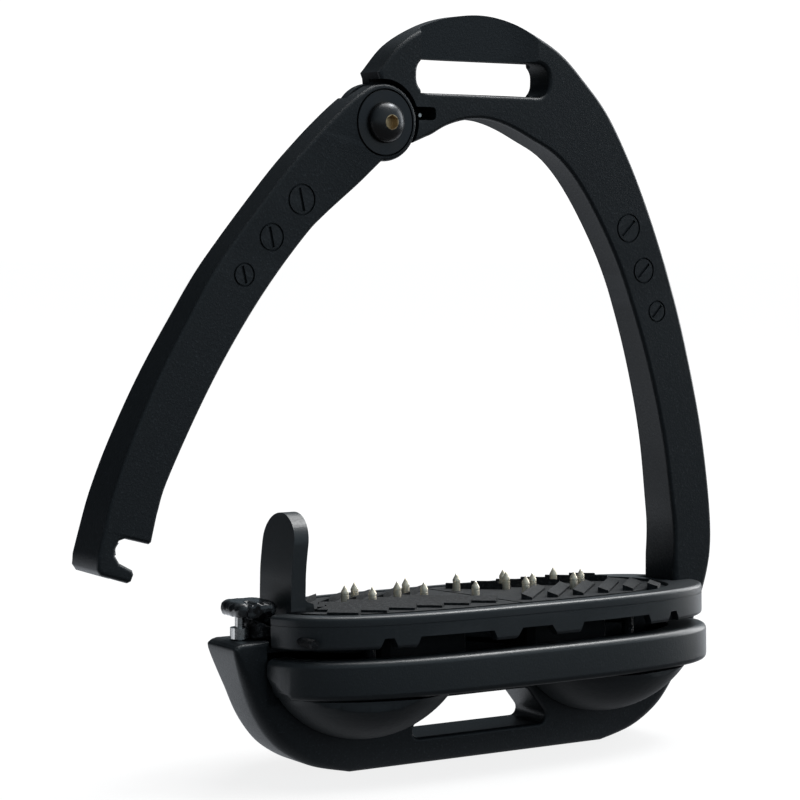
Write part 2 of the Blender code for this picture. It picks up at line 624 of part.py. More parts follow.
# ---------------------------------------------------------------- latch and lever
def make_latch(parts, mats):
    low, high = HEAD_BOX
    outline = rounded([(low[0], low[1]), (high[0], low[1]), (high[0], high[1]), (low[0], high[1])],
                      2.6, 4)
    mesh = flat_mesh("catch_head", [outline], low[2], high[2], "XY", 1.4, 1)
    head = add_object("catch_head", mesh, parts, mats["gloss_black"])
    set_origin(head, (POST_X, 0, low[2]))
    boolean(head, rod_mesh("post_bore", POST_R + GAP, 30, 40.3, (POST_X, 0), "Z", 16))
    rod = rod_mesh("latch_post", POST_R, 27.4, 39.6, (POST_X, 0), "Z", 20)
    add_object("latch_post", rod, parts, mats["steel"])
    tube("post_collar", POST_R + GAP, 2.2, END_TOP + GAP, 35.3, (POST_X, 0, 0), parts,
         mats["steel"], "Z", 24)


def make_rocker(parts, mats):
    x, z = ROCKER_AXIS
    outline = [(-61.6, 35.6), (-61.4, 37.1), (-60.4, 37.1), (x - 1.3, 35.1), (-53.5, 34.2),
               (-53.2, 33.3), (x + 1.4, 32.0), (x, 31.5), (x - 1.6, 32.4), (-58.6, 34.2)]
    rocker = add_object("release_rocker", flat_mesh("release_rocker", [outline], -4.6, 4.6), parts,
                        mats["steel"])
    set_origin(rocker, (x, 0, z))
    boolean(rocker, rod_mesh("rocker_bore", 1.1, -20, 20, ROCKER_AXIS, segments=16))
    add_object("rocker_pin", rod_mesh("rocker_pin", 0.8, -6.3, 6.3, ROCKER_AXIS, segments=16),
               parts, mats["steel"])


def make_lever(parts, mats):
    half, back = LEVER_W / 2, LEVER_FACE + LEVER_T
    outer = catmull([(LEVER_FACE, 39.0), (LEVER_FACE, 44.0), (LEVER_FACE + 0.2, 50.0),
                     (LEVER_FACE + LEVER_LEAN, LEVER_TOP + 1)])
    blade = outer + [(x + LEVER_T, z) for x, z in reversed(outer)]
    lever = add_object("release_lever", flat_mesh("release_lever", [blade], -half, half), parts,
                       mats["satin_black"])
    set_origin(lever, (LEVER_AXIS[0], 0, LEVER_AXIS[1]))
    tab = arc((0, LEVER_TOP - half), half, 180, 0, 12) + [(half, 38.0), (-half, 38.0)]
    boolean(lever, flat_mesh("lever_tab", [tab], -60, -40, "YZ"), "INTERSECT")
    foot = [(LEVER_FACE, 35.2), (-51.0, 33.8), (-47.0, 33.8), (-46.3, 35.5), (-46.6, 38.6),
            (-46.9, 40.1), (-48.6, 40.6), (-49.9, 42.0), (back - 0.2, 45.0), (back - 0.6, 47.0),
            (LEVER_FACE + 0.4, 47.0), (LEVER_FACE + 0.4, 41.0), (LEVER_FACE, 40.0)]
    boolean(lever, flat_mesh("lever_foot", [foot], -4.8, 4.8), "UNION")
    boolean(lever, rod_mesh("lever_bore", 1.3, -20, 20, LEVER_AXIS, segments=20))
    boolean(lever, box_mesh("spring_room", (-51.6, -2.7, 30.0), (-40.0, 2.7, 38.6)))
    add_object("lever_pin", rod_mesh("lever_pin", 1.0, -6.3, 6.3, LEVER_AXIS, segments=20), parts,
               mats["steel"])
    turns, per_turn = 3, 10
    coil = [(LEVER_AXIS[0] + 1.9 * math.cos(2 * math.pi * i / per_turn),
             -1.6 + 3.2 * i / (turns * per_turn),
             LEVER_AXIS[1] + 1.9 * math.sin(2 * math.pi * i / per_turn))
            for i in range(turns * per_turn + 1)]
    add_object("lever_spring", wire_mesh("lever_spring", coil, 0.3, 1), parts, mats["steel"], 60)


def make_bracket(parts, mats):
    """Cheeks that carry the lever and the rocker, on the floor of the tray."""
    cheek = [(-53.4, 22.0), (-44.0, 22.0), (-44.0, 31.5), (-46.2, 34.0), (-46.6, 37.2), (-54.0, 37.2),
             (-58.2, 35.6), (-58.2, 31.2), (-53.4, 31.2)]
    bracket = add_object("lever_bracket", flat_mesh("lever_bracket", [cheek], -6.3, 6.3), parts,
                         mats["steel"])
    boolean(bracket, box_mesh("inside", (-70, -5.2, 23.4), (-30, 5.2, 60)))
    boolean(bracket, rod_mesh("pin_hole", 1.3, -20, 20, LEVER_AXIS, segments=20))
    boolean(bracket, rod_mesh("pin_hole", 1.1, -20, 20, ROCKER_AXIS, segments=16))


clear_scene()
stirrup = new_collection("stirrup_iron")
cutters = new_collection("cutters")
finishes = {
    "anodised": material("anodised_black", (0.018, 0.022, 0.025), 0.42, 0.75),
    "satin_black": material("satin_black", (0.022, 0.026, 0.029), 0.45, 0.2),
    "gloss_black": material("gloss_black", (0.008, 0.008, 0.009), 0.15, 0.0),
    "rubber": material("black_rubber", (0.03, 0.033, 0.035), 0.8, 0.0),
    "steel": material("bright_steel", (0.55, 0.54, 0.50), 0.25, 1.0),
    "dark_steel": material("dark_steel", (0.10, 0.10, 0.10), 0.35, 0.9),
    "bronze": material("bronze", (0.42, 0.26, 0.12), 0.35, 1.0),
    "nylon": material("nylon", (0.6, 0.6, 0.58), 0.5, 0.0),
}
make_frame(stirrup, finishes)
make_arm(stirrup, finishes)
make_notch_liner(stirrup, finishes)
make_pivot(stirrup, finishes)
make_torsion_spring(stirrup, finishes)
make_tray(stirrup, finishes)
make_plate(stirrup, finishes)
make_cushions(stirrup, finishes)
make_grip_pads(stirrup, finishes)
make_studs(stirrup, finishes)
make_fasteners(stirrup, finishes)
make_bracket(stirrup, finishes)
make_latch(stirrup, finishes)
make_rocker(stirrup, finishes)
make_lever(stirrup, finishes)
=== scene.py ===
"""Looks of the stirrup iron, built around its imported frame.

Lengths are written in millimetres, and MM turns them into metres.
X runs towards the fixed arm, -Y is the front with the pivot screw, +Z is up.
"""
import math

import bmesh
import bpy
from mathutils import Matrix, Vector, noise
from mathutils.geometry import intersect_point_line
from mathutils.kdtree import KDTree


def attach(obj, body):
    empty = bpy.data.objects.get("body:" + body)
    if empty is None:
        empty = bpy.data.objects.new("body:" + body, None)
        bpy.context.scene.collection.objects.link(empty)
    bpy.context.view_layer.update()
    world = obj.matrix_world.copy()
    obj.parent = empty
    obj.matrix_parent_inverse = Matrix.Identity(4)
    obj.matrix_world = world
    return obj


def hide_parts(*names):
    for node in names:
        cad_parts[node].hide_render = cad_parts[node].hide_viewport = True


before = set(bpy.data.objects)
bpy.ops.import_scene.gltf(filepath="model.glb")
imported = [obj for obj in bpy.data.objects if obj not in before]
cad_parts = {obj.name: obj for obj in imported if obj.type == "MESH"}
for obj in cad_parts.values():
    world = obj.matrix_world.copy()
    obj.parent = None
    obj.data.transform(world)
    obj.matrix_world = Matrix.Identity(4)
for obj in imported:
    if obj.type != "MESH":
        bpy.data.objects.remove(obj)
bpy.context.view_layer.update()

MM = 0.001

# Driving sizes, as the frame has them, in millimetres and degrees
PIVOT = (-28.3, 151.2)
OPEN_ANGLE = 16.85
TOP_DEPTH, BASE_DEPTH = 8.6, 13.2
TAPER_LOW, TAPER_HIGH = 30.0, 112.0
HEIGHT = 177.4
NOMINAL_HALF = 5.0             # half depth of the slabs before they are tapered
BOSS_R, LUG_R, RECESS_R = 9.0, 9.2, 9.8
LUG_FROM = 98                  # degrees round the pivot where the lug begins
HEX_ACROSS = 3.0               # the pivot screw's hexagon socket, across its flats
SLOT_LENGTH, SLOT_HEIGHT, SLOT_Z, SLOT_ROUND = 38.6, 8.0, 162.6, 3.3
BASE_TOP, END_TOP = 18.6, 32.5
TREAD_TILT = 2.4
TRAY = (61.2, 67.0, 28.7, 24.0)                # reach to the left, right, front and back
TRAY_LOW, TRAY_HIGH, TRAY_FLOOR = 19.3, 28.35, 21.3
PLATE_LOW, PLATE_HIGH, DECK_TOP, DECK_LOW = 30.65, 38.35, 37.55, 35.4
PLATE_INSET = 1.0
POCKET = (56.0, 56.0, 24.0, 19.5)
PLATE_HOLLOW = (57.7, 63.5, 25.3, 20.6)
DECK_RECESS = (56.0, 56.0, 24.6, 19.9)
PAD = (53.0, 53.0, 22.6, 17.9)
TRAY_END, PLATE_END, RIGHT_END = -59.0, -45.5, 58.7    # where the cuts for the frame begin
ARM_SLOT = 7.3
CHEEK_X, CHEEK_Z, CHEEK_R, CHEEK_DEPTH = 35.2, 36.2, 28.0, 24.0
RIB_FIRST, RIB_PITCH, RIB_WIDTH, RIB_TOP = 3.5, 7.7, 2.6, 39.8
POST_X, POST_R = -63.8, 1.1
SCREW_X, SCREW_HOLE_R = 40.0, 2.3
LEVER_PIN, ROCKER_PIN = (-48.5, 35.8), (-56.0, 33.4)
GAP = 0.3                      # clearance of a hole around its stud or post
THROUGH = 20.0                 # a cutter's reach when it goes through the frame
FINE = 6                       # curve steps between two outline points
EDGE = 1.0                     # rounding of the forged edges
BASE_EDGE = 3.0                # rounding of the base's outer ends
BASE_EDGE_FROM, BASE_EDGE_OVER = 40.0, 20.0    # it grows outwards from here, over this length
BASE_EDGE_LEFT = (30.5, 10.0)  # height where it ends at the left, and the run up to it
BASE_EDGE_RIGHT = (44.0, 14.0)
INNER_CORNER = (59.6, 15.0)    # inside this and above it, the edge faces the foot opening

OUTER_ARM = ((41.9, 149.1), (48.1, 138.1), (55.0, 123.2), (60.7, 108.2), (65.2, 92.9),
             (68.9, 77.6), (71.4, 62.2), (72.4, 50.6), (71.9, 42.9))
INNER_ARM = ((31.6, 134.6), (41.1, 119.5), (47.6, 104.5), (52.7, 89.4), (56.6, 74.2),
             (59.1, 59.0), (60.2, 50.0))
BASE_CURVE = ((70.8, 37.0), (68.6, 30.0), (65.8, 22.5), (62.4, 15.0), (58.4, 9.4), (53.9, 5.6),
              (47.0, 2.2), (37.2, 0.0))
ROSETTES = ((44.6, 127.3, 3.65), (49.7, 116.8, 3.25), (54.1, 106.6, 2.75))
STUD_PAIRS = ((33.2, -2.6), (27.9, -6.6), (30.0, 4.4), (18.4, -2.4), (12.8, -7.1), (14.7, 3.5),
              (3.0, 8.2))
STUD_SINGLE = (17.0, 8.0)
STUD_R, STUD_TOP = 0.95, 42.6

# Studio, in metres, degrees and watts
FLOOR_GLOW, FLOOR_DIM = 1.15, 0.07
SUN_POWER, SUN_SPREAD, SUN_LEAN = 3.3, 55, (-6, 28)
CAMERA_PLACE = (-0.3650, -0.5099, 0.1291)
CAMERA_ACROSS, CAMERA_DOWN, CAMERA_ROLL = 34.06, 3.99, 0.72
LENS, SENSOR = 117.3, 36.0


# ---------------------------------------------------------------- shader maths
class Value:
    """A socket that Python's operators work on; each one adds a Math node."""

    def __init__(self, shader, socket):
        self.shader = shader
        self.socket = socket

    def maths(self, operation, *inputs):
        return self.shader.node("ShaderNodeMath", {"operation": operation},
                                dict(enumerate(inputs)))

    def __add__(self, other):
        return self.maths("ADD", self, other)

    def __sub__(self, other):
        return self.maths("SUBTRACT", self, other)

    def __rsub__(self, other):
        return self.maths("SUBTRACT", other, self)

    def __mul__(self, other):
        return self.maths("MULTIPLY", self, other)

    __radd__ = __add__
    __rmul__ = __mul__

    def above(self, low, high):
        """0 below low, 1 above high, and smooth between them."""
        return self.shader.node("ShaderNodeMapRange", {"interpolation_type": "SMOOTHSTEP"},
                                {"Value": self, "From Min": low, "From Max": high})


class Shader:
    """Node tree of one material, or of the world."""

    def __init__(self, name, world=False):
        self.owner = (bpy.data.worlds if world else bpy.data.materials).new(name)
        self.owner.use_nodes = True
        self.tree = self.owner.node_tree
        self.surface = self.tree.nodes["Background" if world else "Principled BSDF"]
        self.output = self.tree.nodes["World Output" if world else "Material Output"]

    def node(self, kind, settings, inputs, output=0):
        """Any node: its settings first, then its sockets' values or links."""
        node = self.tree.nodes.new(kind)
        for key, value in settings.items():
            setattr(node, key, value)
        for key, value in inputs.items():
            self.put(node.inputs[key], value)
        return Value(self, node.outputs[output])

    def put(self, socket, value):
        if isinstance(value, Value):
            self.tree.links.new(value.socket, socket)
        elif isinstance(value, tuple) and len(value) == 3 and socket.type == "RGBA":
            socket.default_value = (*value, 1.0)
        else:
            socket.default_value = value

    def place(self):
        """Position on the piece, in metres of its own rest shape."""
        return self.node("ShaderNodeTexCoord", {}, {}, "Object")

    def noise(self, scale, detail=2.0, roughness=0.5, where=None):
        return self.node("ShaderNodeTexNoise", {},
                         {"Vector": where or self.place(), "Scale": scale, "Detail": detail,
                          "Roughness": roughness}, "Fac")

    def stretched(self, scale):
        return self.node("ShaderNodeMapping", {}, {"Vector": self.place(), "Scale": scale})

    def mix(self, share, first, second):
        """Colour between two colours."""
        return self.node("ShaderNodeMix", {"data_type": "RGBA"},
                         {"Factor": share, 6: first, 7: second}, 2)

    def bump(self, height, distance, strength=1.0):
        return self.node("ShaderNodeBump", {}, {"Height": height, "Distance": distance,
                                                "Strength": strength}, "Normal")

    def finish(self, **sockets):
        for name, value in sockets.items():
            self.put(self.surface.inputs[name.replace("_", " ")], value)
        return self.owner

    def seen_by_camera(self, seen, unseen):
        """One shader for what the camera sees directly, another for light and reflections."""
        camera_ray = self.node("ShaderNodeLightPath", {}, {}, "Is Camera Ray")
        both = self.node("ShaderNodeMixShader", {}, {0: camera_ray, 1: unseen, 2: seen})
        self.put(self.output.inputs["Surface"], both)
        return self.owner


def edge_highlight(shader):
    """Mask of a painted highlight along the edges: 1 on sharp edges, 0 on flat faces."""
    pointed = shader.node("ShaderNodeNewGeometry", {}, {}, "Pointiness")
    return pointed.above(0.515, 0.60)


def anodised_alloy():
    """Blasted and black-anodised alloy: blue-black, with a fine sparkle."""
    s = Shader("anodised_alloy")
    grain = s.noise(1700, 3.0, 0.7)
    cloud = s.noise(38, 2.0)
    speck = grain.above(0.56, 0.72)
    color = s.mix(speck * 0.7, (0.010, 0.013, 0.0155), (0.042, 0.050, 0.057))
    color = s.mix(cloud * 0.25, color, (0.018, 0.021, 0.024))
    # Painted highlight: the sharp edges are lightened towards grey.
    color = s.mix(edge_highlight(s) * 0.35, color, (0.05, 0.055, 0.06))
    return s.finish(Base_Color=color, Metallic=0.25, Roughness=0.33 + cloud * 0.05 + grain * 0.12,
                    Specular_IOR_Level=0.5, Normal=s.bump(grain, 0.00008, 0.8))


def moulded_nylon():
    """Fine-grained moulding of the tread's tray and plate."""
    s = Shader("moulded_nylon")
    grain = s.noise(1900, 3.0, 0.6)
    streak = s.noise(9.0, 3.0, 0.6, s.stretched((6.0, 20.0, 60.0)))
    height = s.node("ShaderNodeSeparateXYZ", {}, {"Vector": s.place()}, "Z")
    gusset = 1.0 - height.above(0.0180, 0.0195)
    hide = s.noise(560, 3.0, 0.6)
    color = s.mix(grain.above(0.55, 0.75) * 0.5, (0.0205, 0.0245, 0.0270), (0.042, 0.047, 0.050))
    color = s.mix(streak * 0.2, color, (0.030, 0.034, 0.037))
    # Painted highlight: the sharp edges are lightened towards grey.
    color = s.mix(edge_highlight(s) * 0.3, color, (0.06, 0.064, 0.068))
    relief = grain * 0.35 + hide * gusset
    return s.finish(Base_Color=color, Roughness=0.32 + grain * 0.10 + gusset * 0.12,
                    Specular_IOR_Level=0.55, Normal=s.bump(relief, 0.00014, 0.7))


def grip_rubber():
    """Speckled hard rubber of the grip pads."""
    s = Shader("grip_rubber")
    grain = s.noise(1500, 4.0, 0.75)
    color = s.mix(grain.above(0.45, 0.66), (0.006, 0.007, 0.008), (0.030, 0.033, 0.036))
    return s.finish(Base_Color=color, Roughness=0.58 + grain * 0.15, Specular_IOR_Level=0.3,
                    Normal=s.bump(grain, 0.00012, 0.9))


def cushion_rubber():
    s = Shader("cushion_rubber")
    grain = s.noise(700, 2.0)
    color = s.mix(grain, (0.006, 0.006, 0.007), (0.014, 0.014, 0.015))
    return s.finish(Base_Color=color, Roughness=0.8, Normal=s.bump(grain, 0.00008, 0.5))


def catch_lacquer():
    """Thick, uneven gloss black on the catch."""
    s = Shader("catch_lacquer")
    blotch = s.noise(420, 3.0, 0.6)
    pits = blotch.above(0.42, 0.62)
    color = s.mix(pits, (0.004, 0.004, 0.005), (0.030, 0.032, 0.034))
    return s.finish(Base_Color=color, Roughness=0.16 + pits * 0.25, Coat_Weight=0.6,
                    Coat_Roughness=0.08, Normal=s.bump(blotch, 0.0004, 0.6))


def raw_black():
    """Rough, oily black steel of the release mechanism."""
    s = Shader("raw_black_steel")
    crust = s.noise(650, 5.0, 0.7)
    color = s.mix(crust.above(0.5, 0.7), (0.005, 0.005, 0.006), (0.045, 0.047, 0.05))
    return s.finish(Base_Color=color, Metallic=0.4, Roughness=0.22 + crust * 0.35,
                    Normal=s.bump(crust, 0.0007, 0.8))


def blued_steel():
    """Dark fine-turned steel of the pivot screw and its washer, with a painted glint in the screw's
    socket.
    """
    s = Shader("blued_steel")
    grain = s.noise(1800, 2.0, 0.5)
    warm = s.noise(55, 2.0)
    color = s.mix(warm.above(0.45, 0.7) * 0.6, (0.050, 0.053, 0.057), (0.095, 0.078, 0.062))
    # Painted glint: a brass-gold disc painted inside the hex socket, round the pivot axis.
    pivot = (PIVOT[0] * MM, 0.0, PIVOT[1] * MM)
    offset = s.node("ShaderNodeVectorMath", {"operation": "SUBTRACT"}, {0: s.place(), 1: pivot})
    offset = s.node("ShaderNodeVectorMath", {"operation": "MULTIPLY"}, {0: offset, 1: (1, 0, 1)})
    reach = s.node("ShaderNodeVectorMath", {"operation": "LENGTH"}, {0: offset}, "Value")
    color = s.mix(1.0 - reach.above(0.00165, 0.00185), color, (0.62, 0.46, 0.26))
    return s.finish(Base_Color=color, Metallic=0.8, Roughness=0.26 + grain * 0.12,
                    Normal=s.bump(grain, 0.00002, 0.5))


def stud_metal():
    """Pale brass-tinted plating with fine turning marks."""
    s = Shader("stud_metal")
    rings = s.noise(400, 2.0, 0.5, s.stretched((0.2, 0.2, 18.0)))
    color = s.mix(rings, (0.84, 0.72, 0.50), (0.98, 0.93, 0.82))
    return s.finish(Base_Color=color, Metallic=0.5, Roughness=0.18 + rings * 0.12,
                    Normal=s.bump(rings, 0.00003, 0.5))


def bright_steel():
    s = Shader("bright_steel")
    marks = s.noise(500, 2.0, 0.5, s.stretched((1.0, 1.0, 9.0)))
    color = s.mix(marks, (0.55, 0.55, 0.54), (0.72, 0.71, 0.69))
    return s.finish(Base_Color=color, Metallic=1.0, Roughness=0.2 + marks * 0.15)


def bearing_bronze():
    s = Shader("bearing_bronze")
    marks = s.noise(300, 2.0)
    color = s.mix(marks, (0.40, 0.24, 0.11), (0.52, 0.33, 0.16))
    return s.finish(Base_Color=color, Metallic=1.0, Roughness=0.32 + marks * 0.1)


def washer_nylon():
    s = Shader("washer_nylon")
    cloud = s.noise(200, 2.0)
    return s.finish(Base_Color=s.mix(cloud, (0.55, 0.55, 0.53), (0.64, 0.64, 0.61)),
                    Roughness=0.45 + cloud * 0.1)


# ---------------------------------------------------------------- shapes
def catmull(points, steps=FINE):
    """Smooth curve through the points, which keeps its end points."""
    ends = [tuple(2 * a - b for a, b in zip(points[0], points[1])),
            tuple(2 * a - b for a, b in zip(points[-1], points[-2]))]
    knots = [Vector(p) for p in (ends[0], *points, ends[1])]
    curve = []
    for a, b, c, d in zip(knots, knots[1:], knots[2:], knots[3:]):
        for i in range(steps):
            t = i / steps
            curve.append(0.5 * ((2 * b) + (c - a) * t + (2 * a - 5 * b + 4 * c - d) * t * t
                                + (3 * b - a - 3 * c + d) * t ** 3))
    curve.append(knots[-2])
    return [tuple(p) for p in curve]


def arc(center, radius, start, end, steps):
    """Points on a circle between two angles in degrees."""
    return [(center[0] + radius * math.cos(math.radians(start + (end - start) * i / steps)),
             center[1] + radius * math.sin(math.radians(start + (end - start) * i / steps)))
            for i in range(steps + 1)]


def rounded(corners, radius, steps=5):
    """Polygon with every corner rounded to the same radius."""
    points = []
    count = len(corners)
    for i, corner in enumerate(corners):
        here = Vector(corner)
        back = (Vector(corners[i - 1]) - here).normalized()
        ahead = (Vector(corners[(i + 1) % count]) - here).normalized()
        half = back.angle(ahead) / 2
        center = here + (back + ahead).normalized() * radius / math.sin(half)
        first = here + back * radius / math.tan(half) - center
        last = here + ahead * radius / math.tan(half) - center
        turn = first.angle_signed(last)
        for k in range(steps + 1):
            points.append(tuple(center + Matrix.Rotation(-turn * k / steps, 2) @ first))
    return points


def flat_mesh(name, outlines, low, high, plane="XZ", edge=0.0, edge_steps=0):
    """Solid of a flat outline, with holes and rounded edges, between two depths."""
    curve = bpy.data.curves.new(name, "CURVE")
    curve.dimensions = "2D"
    curve.fill_mode = "BOTH"
    curve.extrude = ((high - low) / 2 - edge) * MM
    curve.bevel_depth = edge * MM
    curve.bevel_resolution = edge_steps
    curve.offset = -edge * MM
    for outline in outlines:
        spline = curve.splines.new("POLY")
        spline.points.add(len(outline) - 1)
        for point, (x, y) in zip(spline.points, outline):
            point.co = (x * MM, y * MM, 0, 1)
        spline.use_cyclic_u = True
    middle = (low + high) / 2 * MM
    turns = {"XZ": Matrix.Translation((0, middle, 0)) @ Matrix.Rotation(math.pi / 2, 4, "X"),
             "XY": Matrix.Translation((0, 0, middle)),
             "YZ": Matrix.Translation((middle, 0, 0)) @ Matrix(((0, 0, 1, 0), (1, 0, 0, 0),
                                                                (0, 1, 0, 0), (0, 0, 0, 1)))}
    guide = bpy.data.objects.new(name, curve)
    guide.matrix_world = turns[plane]
    bpy.context.scene.collection.objects.link(guide)
    bpy.context.view_layer.update()
    depsgraph = bpy.context.evaluated_depsgraph_get()
    mesh = bpy.data.meshes.new_from_object(guide.evaluated_get(depsgraph))
    mesh.transform(guide.matrix_world)
    bpy.data.objects.remove(guide, do_unlink=True)
    edit = bmesh.new()
    edit.from_mesh(mesh)
    bmesh.ops.remove_doubles(edit, verts=edit.verts, dist=1e-6)
    bmesh.ops.recalc_face_normals(edit, faces=edit.faces)
    edit.to_mesh(mesh)
    edit.free()
    return mesh


def box_mesh(low, high):
    """Block between two opposite corners."""
    edit = bmesh.new()
    bmesh.ops.create_cube(edit, size=1.0)
    bmesh.ops.scale(edit, vec=[(b - a) * MM for a, b in zip(low, high)], verts=edit.verts)
    bmesh.ops.translate(edit, vec=[(a + b) / 2 * MM for a, b in zip(low, high)], verts=edit.verts)
    return closed(edit)


def rod_mesh(radius, start, end, at, axis="Y", segments=48):
    """Round rod between two places along its axis; at gives the other two coordinates."""
    edit = bmesh.new()
    bmesh.ops.create_cone(edit, cap_ends=True, segments=segments, radius1=radius * MM,
                          radius2=radius * MM, depth=abs(end - start) * MM)
    place = (at[0], (start + end) / 2, at[1])
    if axis == "Y":
        bmesh.ops.rotate(edit, matrix=Matrix.Rotation(math.pi / 2, 3, "X"), verts=edit.verts)
    else:
        place = (at[0], at[1], (start + end) / 2)
    bmesh.ops.translate(edit, vec=[c * MM for c in place], verts=edit.verts)
    return closed(edit)


def closed(edit):
    """Mesh of an edit, with its faces turned outwards."""
    mesh = bpy.data.meshes.new("shape")
    bmesh.ops.recalc_face_normals(edit, faces=edit.faces)
    edit.to_mesh(mesh)
    edit.free()
    return mesh


def turned_mesh(profile, at, axis="Y", segments=48):
    """Turned solid from (radius, height) points; along Y, heights run towards the front."""
    edit = bmesh.new()
    rows = [edit.verts.new((r * MM, 0, h * MM)) for r, h in profile]
    edges = [edit.edges.new(pair) for pair in zip(rows, rows[1:])]
    if profile[0][0] > 0:
        edges.append(edit.edges.new((rows[-1], rows[0])))
    bmesh.ops.spin(edit, geom=rows + edges, axis=(0, 0, 1), cent=(0, 0, 0), steps=segments,
                   angle=2 * math.pi)
    bmesh.ops.remove_doubles(edit, verts=edit.verts, dist=1e-6)
    if axis == "Y":
        bmesh.ops.rotate(edit, matrix=Matrix.Rotation(math.pi / 2, 3, "X"), verts=edit.verts)
    bmesh.ops.translate(edit, vec=[c * MM for c in at], verts=edit.verts)
    return closed(edit)


def new_piece(name, mesh):
    obj = bpy.data.objects.new(name, mesh)
    bpy.context.scene.collection.objects.link(obj)
    return obj


def cut(obj, mesh, operation="DIFFERENCE"):
    """Cut or join a mesh with a piece, at once."""
    tool = new_piece("tool", mesh)
    modifier = obj.modifiers.new("Cut", "BOOLEAN")
    modifier.operation = operation
    modifier.solver = "EXACT"
    modifier.object = tool
    settle(obj)
    bpy.data.objects.remove(tool, do_unlink=True)


def settle(obj):
    """Turn a piece's modifiers into its mesh."""
    bpy.context.view_layer.update()
    depsgraph = bpy.context.evaluated_depsgraph_get()
    mesh = bpy.data.meshes.new_from_object(obj.evaluated_get(depsgraph))
    obj.modifiers.clear()
    obj.data = mesh


def soften(obj, width, segments=2, angle=40.0):
    """Round the edges that are sharper than an angle in degrees."""
    modifier = obj.modifiers.new("Soften", "BEVEL")
    modifier.width = width * MM
    modifier.segments = segments
    modifier.limit_method = "ANGLE"
    modifier.angle_limit = math.radians(angle)


def lump(obj, voxel, smoothing, height):
    """Melt a piece's edges and make its surface uneven, mostly inwards."""
    melt = obj.modifiers.new("Melt", "REMESH")
    melt.mode = "VOXEL"
    melt.voxel_size = voxel * MM
    settle(obj)
    smooth = obj.modifiers.new("Smooth", "SMOOTH")
    smooth.iterations = smoothing
    settle(obj)
    for vert in obj.data.vertices:
        swell = noise.noise(vert.co / (1.3 * MM)) + 0.5 * noise.noise(vert.co / (0.6 * MM))
        vert.co -= vert.normal * (0.5 + 0.5 * swell) * height * MM


def dress(obj, mat, body, slot, *nodes, sharp=40.0):
    """Finish, body, material slot (not used) and the nodes that a piece stands for."""
    settle(obj)
    obj.data.materials.clear()
    obj.data.materials.append(mat)
    obj.data.shade_smooth()
    obj.data.set_sharp_from_angle(angle=math.radians(sharp))
    even = obj.modifiers.new("Even_shading", "WEIGHTED_NORMAL")
    even.mode = "FACE_AREA"
    even.weight = 100
    even.keep_sharp = True
    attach(obj, body)
    if nodes:
        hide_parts(*nodes)
    return obj


def half_depth(z):
    """Half the frame's depth: slim at the eye, deeper towards the base."""
    share = min(max((TAPER_HIGH - z) / (TAPER_HIGH - TAPER_LOW), 0), 1)
    return TOP_DEPTH / 2 + (BASE_DEPTH - TOP_DEPTH) / 2 * share


def taper(mesh):
    """Move the faces of a slab of nominal half depth to the frame's depth at each height."""
    edit = bmesh.new()
    edit.from_mesh(mesh)
    for z in (TAPER_LOW, TAPER_HIGH):
        everything = edit.verts[:] + edit.edges[:] + edit.faces[:]
        bmesh.ops.bisect_plane(edit, geom=everything, plane_co=(0, 0, z * MM), plane_no=(0, 0, 1))
    for vert in edit.verts:
        change = (half_depth(vert.co.z / MM) - NOMINAL_HALF) * MM
        vert.co.y += change if vert.co.y > 0 else -change
    bmesh.ops.recalc_face_normals(edit, faces=edit.faces)
    edit.to_mesh(mesh)
    edit.free()


def tilted():
    """Tilt of the tread about the top of the tray."""
    center = Matrix.Translation((0, 0, TRAY_HIGH * MM))
    return center @ Matrix.Rotation(math.radians(-TREAD_TILT), 4, "X") @ center.inverted()


def swung():
    """Turn of the release arm from closed to open."""
    center = Matrix.Translation((PIVOT[0] * MM, 0, PIVOT[1] * MM))
    return center @ Matrix.Rotation(math.radians(OPEN_ANGLE), 4, "Y") @ center.inverted()


def tread_outline(left, right, front, back, steps=144):
    """Bowed tread with rounded ends, seen from above, from its reach on each side."""
    points = []
    for i in range(steps):
        angle = 2 * math.pi * (i + 0.5) / steps
        cosine, sine = math.cos(angle), math.sin(angle)
        depth = back if sine > 0 else front
        reach = right if cosine > 0 else left
        points.append((math.copysign(abs(cosine) ** 0.64, cosine) * reach,
                       math.copysign(abs(sine) ** 0.72, sine) * depth))
    return points


# ---------------------------------------------------------------- frame and arm
def cut_rosettes(obj, side):
    """Three rings, each round a disc with a slanting slot, on an arm's front face."""
    for x, z, radius in ROSETTES:
        face = half_depth(z)
        groove = [(radius, face + 1), (radius, face - 0.45), (radius - 0.42, face - 0.45),
                  (radius - 0.42, face + 1)]
        cut(obj, turned_mesh(groove, (side * x, 0, z)))
        slot = box_mesh((-radius * 0.74, -0.45, -0.34), (radius * 0.74, 0.45, 0.34))
        lean = math.radians(-45 if side > 0 else 60)
        slot.transform(Matrix.Translation((side * x * MM, -face * MM, z * MM))
                       @ Matrix.Rotation(lean, 4, "Y"))
        cut(obj, slot)


def eye_cutter(side):
    """Wedge that turns one face of the eye, with a hollow fillet at its step."""
    face = half_depth(SLOT_Z) + 0.06
    slope = 3.8 / 33.6
    start, corner = -16.0, 16.2
    depth = face - slope * (corner - start)
    fillet = arc((corner - 0.2, depth + 2.2), 2.2, 270, 350, 8)
    wedge = [(start, face), *fillet, (18.4, face), (18.4, 9.0), (start, 9.0)]
    wedge = [(-side * x, -side * y) for x, y in wedge]
    low_edge = SLOT_Z - SLOT_HEIGHT / 2 - 0.23
    return flat_mesh("eye_face", [wedge], low_edge, 190, "XY")


def end_rounding(x, z):
    """Rounding of the base's outer edges: larger towards its ends."""
    across = min(max((abs(x) - BASE_EDGE_FROM) / BASE_EDGE_OVER, 0), 1)
    top, run = BASE_EDGE_LEFT if x < 0 else BASE_EDGE_RIGHT
    height = min(max((top - z) / run, 0), 1)
    return EDGE + (BASE_EDGE - EDGE) * across * height


